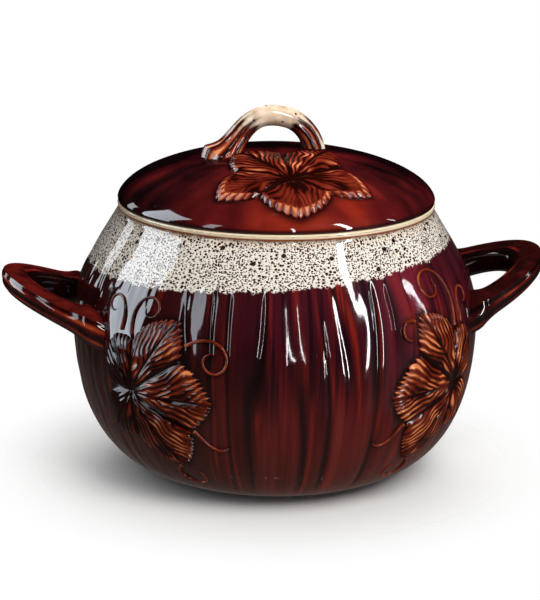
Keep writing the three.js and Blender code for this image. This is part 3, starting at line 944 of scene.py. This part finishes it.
def leafPlaces(shape):
    # every spot of a leaf's face: where it lies, and what it lies near
    press = pressSettings
    degrees = np.linspace(0, 360, shape["columns"], endpoint=False)
    turn = np.radians(degrees)
    cosine, sine = np.cos(turn), np.sin(turn)
    reach, midrib, tip, notch = lobesAt(shape, degrees)
    beaded = 1 - smoothStep(0, press["beadFade"], np.minimum(degrees, 360 - degrees) - shape["rimTo"])
    beads = lengthsAlong(np.stack([reach * cosine, reach * sine], -1)) / shape["rimStep"]
    margin = ribRun(shape, reach * np.cos(turn - tip), reach * np.sin(turn - tip))
    margin = np.where(beaded > 0.5, beads, margin + straying(shape, reach * cosine, reach * sine))
    reach = reach * (1 - shape["scallop"] * (1 - np.abs(np.cos(math.pi * margin)) ** press["scallopPower"]))
    share = np.linspace(press["firstRing"], 1, shape["rings"])[:, None]
    far = share * reach
    x, y = far * cosine, far * sine
    fromNotch = far * np.abs(np.sin(turn - notch))
    *edge, lower = press["liftEdge"]
    raised = smoothStep(shape["liftFrom"], shape["liftTo"], -x) * (1 - lower * smoothStep(*edge, share))
    return SimpleNamespace(
        reach=reach, cosine=cosine, sine=sine, share=share, far=far, x=x, y=y, midrib=midrib,
        along=far * np.cos(turn - tip), across=far * np.sin(turn - tip), fromNotch=fromNotch,
        beads=beads, beaded=beaded,
        rim=beaded * smoothStep(shape["rimFrom"], shape["rimFrom"] + press["rimWidth"], share),
        lumps=wander(x * press["lumpFine"], y * press["lumpFine"], shape["seed"] + press["lumpSeed"]),
        notched=bump(fromNotch, 0, press["notchWidth"]), raised=raised * (shape["backLift"] > 0),
        rolled=beaded * bump(share, press["rollAt"], press["rollWidth"]),
        thick=shape["drownedAndShaded"] * smoothStep(*press["thickAndShadedFrom"], -x))  # glaze pooled towards the handle, and shade painted darker there


def leafHeight(shape, at):
    press = pressSettings
    crown = shape["crown"] * at.midrib ** press["crownPower"] + press["lump"] * at.lumps
    height = shape["edge"] + crown * (1 - at.share ** press["lumpEdge"])
    vein = press["vein"] * bump(at.across, 0, press["veinWidth"])
    height = height - vein * (1 - at.share ** press["veinEdge"])
    height = height - (press["notch"] + press["notchEdge"] * at.share) * at.notched
    height = height * (1 - press["hollow"] * bump(at.far, 0, press["hollowWidth"]))
    height = height * (1 - press["drop"] * smoothStep(press["dropFrom"], 1.0, at.share) ** 2)
    height = height + shape["backLift"] * at.raised * (1 - press["lobeLift"] * (1 - at.midrib))
    dish = press["dish"] * at.beaded * (1 - at.rim) * smoothStep(*press["dishFrom"], at.share)
    return height + press["roll"] * at.rolled - dish


def leafRibs(shape, at):
    # where the ribs and the beads of the edge run, and how high they stand
    press = pressSettings
    gain = smoothStep(*press["clearOfVein"], np.abs(at.across))
    gain = gain * smoothStep(*press["clearOfNotch"], at.fromNotch)
    gain = gain * smoothStep(*press["clearOfMiddle"], at.far)
    fine = press["gainFine"]
    uneven = wander(at.y * fine, at.x * fine, shape["seed"] + press["gainSeed"])
    uneven = press["gain"] + press["gainUneven"] * uneven
    gain = gain * uneven * (1 - press["gainByBeads"] * at.beaded)
    gain = gain * (1 - at.rim) + press["beadGain"] * at.rim
    half = press["rimWidth"] / 2
    seam = smoothStep(0, half, np.abs(at.share - shape["rimFrom"] - half))
    gain = gain * np.where(at.beaded > 0.5, seam, 1) * (1 - at.thick)
    rounded = at.beads - press["beadRound"] * np.sin(fullTurn * at.beads) / fullTurn
    phase = ribRun(shape, at.along, at.across) + straying(shape, at.x, at.y)
    return np.where(at.rim > 0.5, rounded, phase), gain


def pressedLeaf(name, shape, lay, flip, finish):
    press = pressSettings
    at = leafPlaces(shape)
    height = leafHeight(shape, at)
    phase, gain = leafRibs(shape, at)
    glow = shape["bare"] + press["edgeGlow"] * at.share ** press["edgeGlowPower"]
    glow = glow + sum(much * getattr(at, label) for label, much in press["glow"].items())
    rows, shares = [lay(at.x, at.y, height)], [1.0] * shape["rings"]
    skirt = [(out, up * height[-1], ribbed) for out, up, ribbed in press["skirt"]]
    skirt += [(out, np.full_like(at.reach, -shape["sink"]), 0.0) for out in press["back"]]
    for out, level, ribbed in skirt:
        rows.append(lay(out * at.reach * at.cosine, out * at.reach * at.sine, level)[None])
        shares.append(ribbed)
    shares = np.array(shares)[:, None]
    last = np.minimum(np.arange(len(shares)), shape["rings"] - 1)  # the skirt goes on as the edge ends
    values = {"ribPhase": phase[last], "ribGain": gain[last] * shares, "glow": glow[last] * shares}
    return grow(ringsPiece(name, np.vstack(rows), values, flip), ribs, shape["ribs"], finish)


def flankLay(side, face):
    # lays a flat drawing on one flank, its axis pointing away from the handle
    middle = bellyLengthAt(leafShape["height"])

    def lay(along, up, height):
        r, z = onBelly(middle + up, height)
        turn = math.radians(leafShape["turn"]) + along / r
        return np.stack([side * r * np.cos(turn), -face * r * np.sin(turn), z], -1)
    return lay


def lidLay(along, up, height):
    x, y = up, -lidLeafShape["forward"] - along
    r, z = onDome(np.hypot(x, y), height)
    turn = np.arctan2(y, x)
    return np.stack([r * np.cos(turn), r * np.sin(turn), z], -1)


# tendrils

tendrilShape = {
    "width": 2.4, "taper": 0.4, "steps": 16, "finer": 5, "sides": 10, "bead": 1.05, "lift": -0.1,
    "tip": 14, "tipLeast": 0.15, "glowUneven": (0.16, 9, 2),
    # name, side or 0 for both, degrees where it leaves the leaf and where it heads, length in leaf
    # reaches, how it bends from first to last, and how pale it is
    "curls": [
        ("upper", -1, 90, 91, 0.95, (40, -780), 0.2),
        ("upper", 1, 90, 91, 1.47, (77, -890), 0.6),
        ("back", -1, 104, 84, 0.72, (-30, 660), 0.2),
        ("back", 1, 104, 84, 0.72, (-30, 660), 0.6),
        ("front", -1, 41, 34, 1.09, (-78, -696), 0.6),
        ("front", 1, 50, 36, 0.39, (-188, -251), 0.6),
        ("lower", 0, 336, 324, 0.43, (-97, 284), 0.6),
        ("foot", 0, 299, 201, 0.7, (252, 325), 0.6),
    ],
}


def smoothLine(points, finer):
    # a rounded line through the points
    padded = np.vstack([2 * points[0] - points[1], points, 2 * points[-1] - points[-2]])
    made = []
    for i in range(len(points) - 1):
        a, b, c, d = padded[i:i + 4]
        for t in np.arange(finer) / finer:
            made.append(0.5 * (2 * b + (c - a) * t + (2 * a - 5 * b + 4 * c - d) * t ** 2
                               + (3 * b - a - 3 * c + d) * t ** 3))
    return np.array(made + [points[-1]])


trailPoints = []  # every point that a tendril passes


def trailedTendril(name, lay, leaves, heading, length, bends, pale):
    shape = tendrilShape
    reach = lobesAt(leafShape, np.array([leaves]))[0][0] + shape["width"]
    start, heading = math.radians(leaves), math.radians(heading)
    place = np.array([reach * math.cos(start), reach * math.sin(start)])
    step = length * leafShape["reach"] / shape["steps"]
    flat = []
    for bend in np.linspace(*bends, shape["steps"] + 1):
        flat.append(place.copy())
        heading += math.radians(bend) / shape["steps"]
        place += step * np.array([math.cos(heading), math.sin(heading)])
    flat = smoothLine(np.array(flat), shape["finer"])
    share = np.linspace(0, 1, len(flat))
    girth = (1 - shape["taper"] * share) * np.sqrt(np.clip((1 - share) * shape["tip"], shape["tipLeast"], 1))
    points = lay(flat[:, 0], flat[:, 1], np.full(len(flat), shape["lift"]))
    trailPoints.extend(points)
    much, waves, first = shape["glowUneven"]
    glow = pale + much * np.sin(waves * share + first)
    line = linePiece(name, points, {"girth": girth, "glow": glow})
    return grow(line, trail, {"Sides": shape["sides"], "Bead Radius": shape["bead"] * mm}, leafFinish)


sprigs = {}
for side, label in ((-1, "left"), (1, "right")):
    for face, end in ((1, "front"), (-1, "back")):
        where = f"{end}_{label}"
        lay = flankLay(side, face)
        shape = leafShape if side < 0 else rightLeafShape
        sprigs[f"leaf_{where}"] = pressedLeaf(f"leaf.{where}", shape, lay, side * face > 0, leafFinish)
        for kind, only, *curl in tendrilShape["curls"]:
            if only in (0, side):
                key = f"tendril_{kind}_{where}"
                sprigs[key] = trailedTendril(key.replace("_", ".", 1), lay, *curl)
lidLeaf = pressedLeaf("lidLeaf", lidLeafShape, lidLay, False, lidLeafFinish)
print("leaves pressed and tendrils trailed:", len(sprigs) + 1, "pieces")


# glaze pooled against leaves and tendrils

poolSettings = {
    "byLeaf": 2.4, "byTrail": 2.0, "trail": 0.8,  # how far glaze has gathered, and how much by a tendril
    "skin": 3, "low": 15, "high": 150, "aboveSeat": 1,
}


def poolValues(along, up, near, shape):
    # how much glaze has gathered against a leaf's edge, 1 at the edge and under the leaf
    reach = lobesAt(shape, np.degrees(np.arctan2(up, along)) % 360)[0]
    return np.where(near, bump(np.clip(np.hypot(along, up) - reach, 0, None), 0, poolSettings["byLeaf"]), 0)


def bellyPools():
    look = poolSettings
    points = vertexArray(potBody)
    x, y, z = points.T
    r = np.hypot(x, y)
    up = bellyLengthAt(z) - bellyLengthAt(leafShape["height"])
    turn = np.arctan2(np.abs(y), np.abs(x)) - math.radians(leafShape["turn"])
    near = np.abs(r - bellyRadiusAt(z)) < look["skin"]
    pool = poolValues(turn * r, up, near, leafShape)
    trails = KDTree(len(trailPoints))
    for i, point in enumerate(trailPoints):
        trails.insert(point, i)
    trails.balance()
    for i in np.flatnonzero(near & (z > look["low"]) & (z < look["high"])):
        away = trails.find(points[i])[2]
        pool[i] = max(pool[i], look["trail"] * math.exp(-(away / look["byTrail"]) ** 2))
    setValues(potBody.data, "pool", pool)


def lidPools():
    x, y, z = vertexArray(lidShell).T
    near = z > lidShape["seat"] + poolSettings["aboveSeat"]
    setValues(lidShell.data, "pool", poolValues(-lidLeafShape["forward"] - y, x, near, lidLeafShape))


bellyPools()
lidPools()


# stem handle of the lid

stemShape = {
    "gap": 14, "thickness": 12.4, "setback": 6, "turn": 12, "left": 36, "right": 26, "crest": -3,
    "rootLeft": 23, "rootRight": 15, "rootPower": 3, "sink": 6, "knuckle": 6.5, "knuckleLong": 0.07,
    "toeStart": 6, "toeBend": 6, "toeTurn": 70, "toeWidth": 17, "toeSteps": 14,
    "curveSteps": 300, "steps": 120, "sides": 144, "cords": 9, "twist": 0.35, "twists": 3, "toeRibs": 0.5,
    "ribs": {"Rib Height": 1.15 * mm, "Rib Sharpness": 0.7},
    # shares of the way from the left root to the right one
    "toes": (0.0, 0.16), "leftLeg": (0.16, 0.5), "rightLeg": (0.6, 0.84), "rightFoot": (0.88, 0.95),
    "footFacing": (0.3, 0.8), "footTurn": 0.3, "footCream": 0.5, "middle": (0.4, 0.6),
    "outer": 0.32, "outerRight": 0.18,  # cream runs further down the right leg
    "cordGlow": (0.12, 2.4, -0.1), "toeCream": (0.2, 1.9, 0.6),
}


def stemLine(shape):
    # the path of the stem, its toe curled down into the lid, with its width all along
    crest = lidShape["rise"] + shape["gap"] + shape["thickness"] / 2
    left, right, top, thick = shape["left"], shape["right"], shape["crest"], shape["thickness"]
    rootLeft, rootRight = (onDomeLine(x, domeLine[:, 1]) - shape["sink"] for x in (left, right))
    rise = bezier([(-left, rootLeft), ((top - 2 * left) / 3, (2 * rootLeft + crest) / 3),
                   ((2 * top - left) / 3 - thick / 2, crest), (top, crest)], shape["curveSteps"])
    fall = bezier([(top, crest), (top + thick, crest), (right, (rootRight + 3 * crest) / 4),
                   (right, rootRight)], shape["curveSteps"])
    line = evenly(np.vstack([rise, fall[1:]]), shape["steps"])[shape["toeStart"]:]
    t = np.linspace(0, 1, shape["steps"])[shape["toeStart"]:]
    roots = np.where(t < 0.5, shape["rootLeft"], shape["rootRight"])
    width = thick + np.abs(2 * t - 1) ** shape["rootPower"] * (roots - thick)
    width = width + shape["knuckle"] * bump(t, t[0], shape["knuckleLong"])
    bend, steps = shape["toeBend"], shape["toeSteps"]
    lean = math.atan2(*(line[1] - line[0])[::-1])
    centre = line[0] + bend * np.array([math.sin(lean), -math.cos(lean)])
    turn = np.linspace(math.radians(shape["toeTurn"]), 0, steps, endpoint=False) + lean + math.pi / 2
    toe = centre + bend * np.stack([np.cos(turn), np.sin(turn)], -1)
    toeWidth = np.linspace(shape["toeWidth"], width[0], steps, endpoint=False)
    return np.vstack([toe, line]), np.concatenate([toeWidth, width]), np.concatenate([np.zeros(steps), t])


def stemHandle():
    shape = stemShape
    line, width, t = stemLine(shape)
    tangent = tangents(line)
    around = np.linspace(0, fullTurn, shape["sides"], endpoint=False)
    up, out = np.cos(around) * width[:, None] / 2, np.sin(around) * width[:, None] / 2
    x, y = line[:, :1] - tangent[:, 1:] * up, out + shape["setback"]
    z = line[:, 1:] + tangent[:, :1] * up + lidShape["seat"]
    cosine, sine = math.cos(math.radians(shape["turn"])), math.sin(math.radians(shape["turn"]))
    rings = np.stack([x * cosine - y * sine, x * sine + y * cosine, z], -1)
    t = t[:, None] + np.zeros(len(around))
    legs = 1 - smoothStep(*shape["leftLeg"], t) + smoothStep(*shape["rightLeg"], t)
    toes = 1 - smoothStep(*shape["toes"], t)
    cord = around * shape["cords"] / fullTurn + shape["twist"] * np.sin(shape["twists"] * t)
    outer = shape["outer"] + shape["outerRight"] * smoothStep(*shape["middle"], t)
    facing = smoothStep(*shape["footFacing"], np.cos(around + shape["footTurn"]))
    foot = smoothStep(*shape["rightFoot"], t) * facing
    much, waves, base = shape["cordGlow"]
    glow = much * np.sin(waves * np.round(cord)) * legs + base
    much, waves, first = shape["toeCream"]
    crest = 1 - legs + shape["footCream"] * foot + outer * legs * (1 - toes) * np.cos(around)
    crest = crest + much * toes * np.sin(waves * np.round(cord) + first)
    gain = legs * (1 + shape["toeRibs"] * toes)
    values = {"ribPhase": cord, "ribGain": gain, "glow": glow, "crest": crest}
    return grow(ringsPiece("stemHandle", rings, values, flip=False), ribs, shape["ribs"], stemFinish)


stem = stemHandle()
print("stem handle drawn")


# bodies and nodes

def stands(piece, body, slot, *nodes):
    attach(piece, body)
    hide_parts(*nodes)


stands(potBody, "pot", "brown_glaze", "pot_body")
for label, handle in handles.items():
    stands(handle, "pot", "brown_glaze", f"handle_{label}")
for node, sprig in sprigs.items():
    stands(sprig, "pot", "relief_glaze", node)
stands(lidShell, "lid", "brown_glaze", "lid_shell")
stands(lidLeaf, "lid", "relief_glaze", "lid_leaf")
stands(stem, "lid", "stem_glaze", "lid_stem_handle")


# stage, in metres

stageSettings = {
    "floorSize": 0.2, "floorSides": 96, "floor": 0.7, "fadeFrom": 0.07, "fadeTo": 0.19,
    "tent": 6.0, "tentSides": 48, "tentRows": 24, "tentHole": 0.02,
    "felt": 0.015, "ground": 0.13, "groundAt": -3.6, "feltTint": (1.0, 0.85, 0.75, 1.0),
    "fill": 0.36, "white": (1, 1, 1, 1),
}


def plainMaterial(name):
    material = bpy.data.materials.new(name)
    material.use_nodes = True
    material.node_tree.nodes.clear()
    return material, material.node_tree


def floorMaterial():
    # pale where the shadow falls, thinning out into the white all round
    look = stageSettings
    material, tree = plainMaterial("paleFloor")
    pale = output(tree, "ShaderNodeBsdfDiffuse", {"Color": (look["floor"],) * 3 + (1,)})
    clear = output(tree, "ShaderNodeBsdfTransparent")
    x, y, _ = split(objectPlace(tree))
    far = (x * x + y * y).math("SQRT").between(look["fadeFrom"], look["fadeTo"])
    both = output(tree, "ShaderNodeMixShader", {0: far, 1: pale, 2: clear})
    addNode(tree, "ShaderNodeOutputMaterial", {"Surface": both})
    return material


def feltMaterial():
    look = stageSettings
    material, tree = plainMaterial("darkFelt")
    height = split(objectPlace(tree))[2]
    strength = height.between(0.0, look["groundAt"], look["felt"], look["ground"])
    felt = output(tree, "ShaderNodeEmission", {"Color": look["feltTint"], "Strength": strength})
    addNode(tree, "ShaderNodeOutputMaterial", {"Surface": felt})
    return material


def stagePiece(name, points, faces, material):
    mesh = bpy.data.meshes.new(name)
    mesh.from_pydata(points.reshape(-1, 3).tolist(), [], faces)
    mesh.materials.append(material)
    made = linked(name, mesh)
    return made


def makeStage():
    look = stageSettings
    sides, rows = look["floorSides"], look["tentRows"]
    turn = np.linspace(0, fullTurn, sides, endpoint=False)
    rim = np.stack([np.cos(turn), np.sin(turn), 0 * turn], -1) * look["floorSize"]
    floor = stagePiece("floor", rim, [list(range(sides))], floorMaterial())
    floor.visible_glossy = False
    # a dark felt tent that only reflections see, as round a real glossy pot
    turn = np.linspace(0, fullTurn, look["tentSides"], endpoint=False)
    top = math.pi / 2 - look["tentHole"]
    rise = np.linspace(-top, top, rows)[:, None]
    ball = np.stack([np.cos(rise) * np.cos(turn), np.cos(rise) * np.sin(turn), np.sin(rise) + 0 * turn], -1)
    tent = stagePiece("tent", ball * look["tent"], gridFaces(rows, look["tentSides"]), feltMaterial())
    for ray in ("camera", "diffuse", "transmission", "volume_scatter", "shadow"):
        setattr(tent, "visible_" + ray, False)


def makeWorld():
    # camera, glossy and transmission rays see white, and the rest a dimmer fill
    look = stageSettings
    world = bpy.data.worlds.new("studio")
    scene.world = world
    world.use_nodes = True
    tree = world.node_tree
    tree.nodes.clear()
    fill, white = (output(tree, "ShaderNodeBackground", {"Color": look["white"], "Strength": strength})
                   for strength in (look["fill"], 1.0))
    camera, glossy, through = (output(tree, "ShaderNodeLightPath", key=f"Is {ray} Ray")
                               for ray in ("Camera", "Glossy", "Transmission"))
    seen = glossy.math("MAXIMUM", through).math("MAXIMUM", camera)
    both = output(tree, "ShaderNodeMixShader", {0: seen, 1: fill, 2: white})
    addNode(tree, "ShaderNodeOutputWorld", {"Surface": both})


lampSettings = {
    # degrees right of the front, up, wide and tall, brightness, colour, and what it gives
    "windowLeft": (-103, 17, 30, 58, 7.6, (0.82, 0.9, 1.0), "shine"),
    "paneLeft": (-56, 15, 9, 44, 6.0, (0.82, 0.9, 1.0), "shine"),
    "paneFarLeft": (-135.5, 7, 9, 26, 3.4, (0.92, 0.95, 1.0), "shine"),
    "stripRight": (44, 15, 4.4, 62, 36.0, (1.0, 1.0, 1.0), "shine"),
    "skyRight": (62, 8, 26, 80, 0.1, (0.75, 0.82, 1.0), "shine"),
    "paneRight": (83, 15, 1.2, 24, 20.0, (0.95, 0.97, 1.0), "shine"),
    "stripMiddle": (4, 14, 1.6, 48, 26.0, (1.0, 1.0, 1.0), "shine"),
    "keyFront": (30, 48, 36, 36, 7.8, (1.0, 0.98, 0.95), "light"),
    "fillLeft": (-80, 25, 40, 40, 0.25, (0.93, 0.96, 1.0), "light"),
    "backLight": (165, 40, 34, 34, 4.5, (1.0, 0.98, 0.95), "light"),
}
lampDistance, lampTarget = 3.0, Vector((0, 0, 0.1))


def placed(name, data, location, look, axis):
    made = bpy.data.objects.new(name, data)
    scene.collection.objects.link(made)
    made.location = location
    made.rotation_mode = "QUATERNION"
    made.rotation_quaternion = look.to_track_quat(axis, "Y")
    return made


def makeLamps():
    for name, (turn, rise, wide, tall, brightness, tint, gives) in lampSettings.items():
        turn, rise = math.radians(turn), math.radians(rise)
        away = Vector((math.sin(turn) * math.cos(rise), -math.cos(turn) * math.cos(rise), math.sin(rise)))
        lamp = bpy.data.lights.new(name, "AREA")
        lamp.shape = "RECTANGLE"
        halves = [math.tan(math.radians(angle / 2)) for angle in (wide, tall)]
        lamp.size, lamp.size_y = (2 * lampDistance * half for half in halves)
        lamp.energy = brightness * math.pi * lamp.size * lamp.size_y
        lamp.color = tint
        made = placed(name, lamp, lampTarget + away * lampDistance, away, "Z")
        made.visible_camera = False
        made.visible_diffuse = gives == "light"
        made.visible_glossy = gives == "shine"


cameraSettings = {
    "distance": 1.5, "turn": -8.5, "rise": 15.82, "lens": 147.87, "sensor": 36, "roll": 0.7,
    "aim": (0, 0, 0.08), "aimAt": (5.0, 34.8), "imageLong": 600,  # pixels right of and below the middle
}


def makeCamera():
    look = cameraSettings
    camera = bpy.data.cameras.new("camera")
    camera.lens, camera.sensor_width, camera.sensor_fit = look["lens"], look["sensor"], "AUTO"
    turn, rise = math.radians(look["turn"]), math.radians(look["rise"])
    right = Vector((math.cos(turn), math.sin(turn), 0))
    away = Vector((-math.sin(turn), math.cos(turn), 0))
    ahead = away * math.cos(rise) - Vector((0, 0, math.sin(rise)))
    upward = away * math.sin(rise) + Vector((0, 0, math.cos(rise)))
    pixel = look["sensor"] / look["lens"] / look["imageLong"]
    line = ahead - right * (look["aimAt"][0] * pixel) + upward * (look["aimAt"][1] * pixel)
    scene.camera = placed("camera", camera, Vector(look["aim"]) - ahead * look["distance"], line, "-Z")
    scene.camera.rotation_quaternion @= Matrix.Rotation(math.radians(look["roll"]), 4, "Z").to_quaternion()


makeStage()
makeWorld()
makeLamps()
makeCamera()
scene.view_settings.view_transform = "Standard"
print("stage, lamps and camera set")
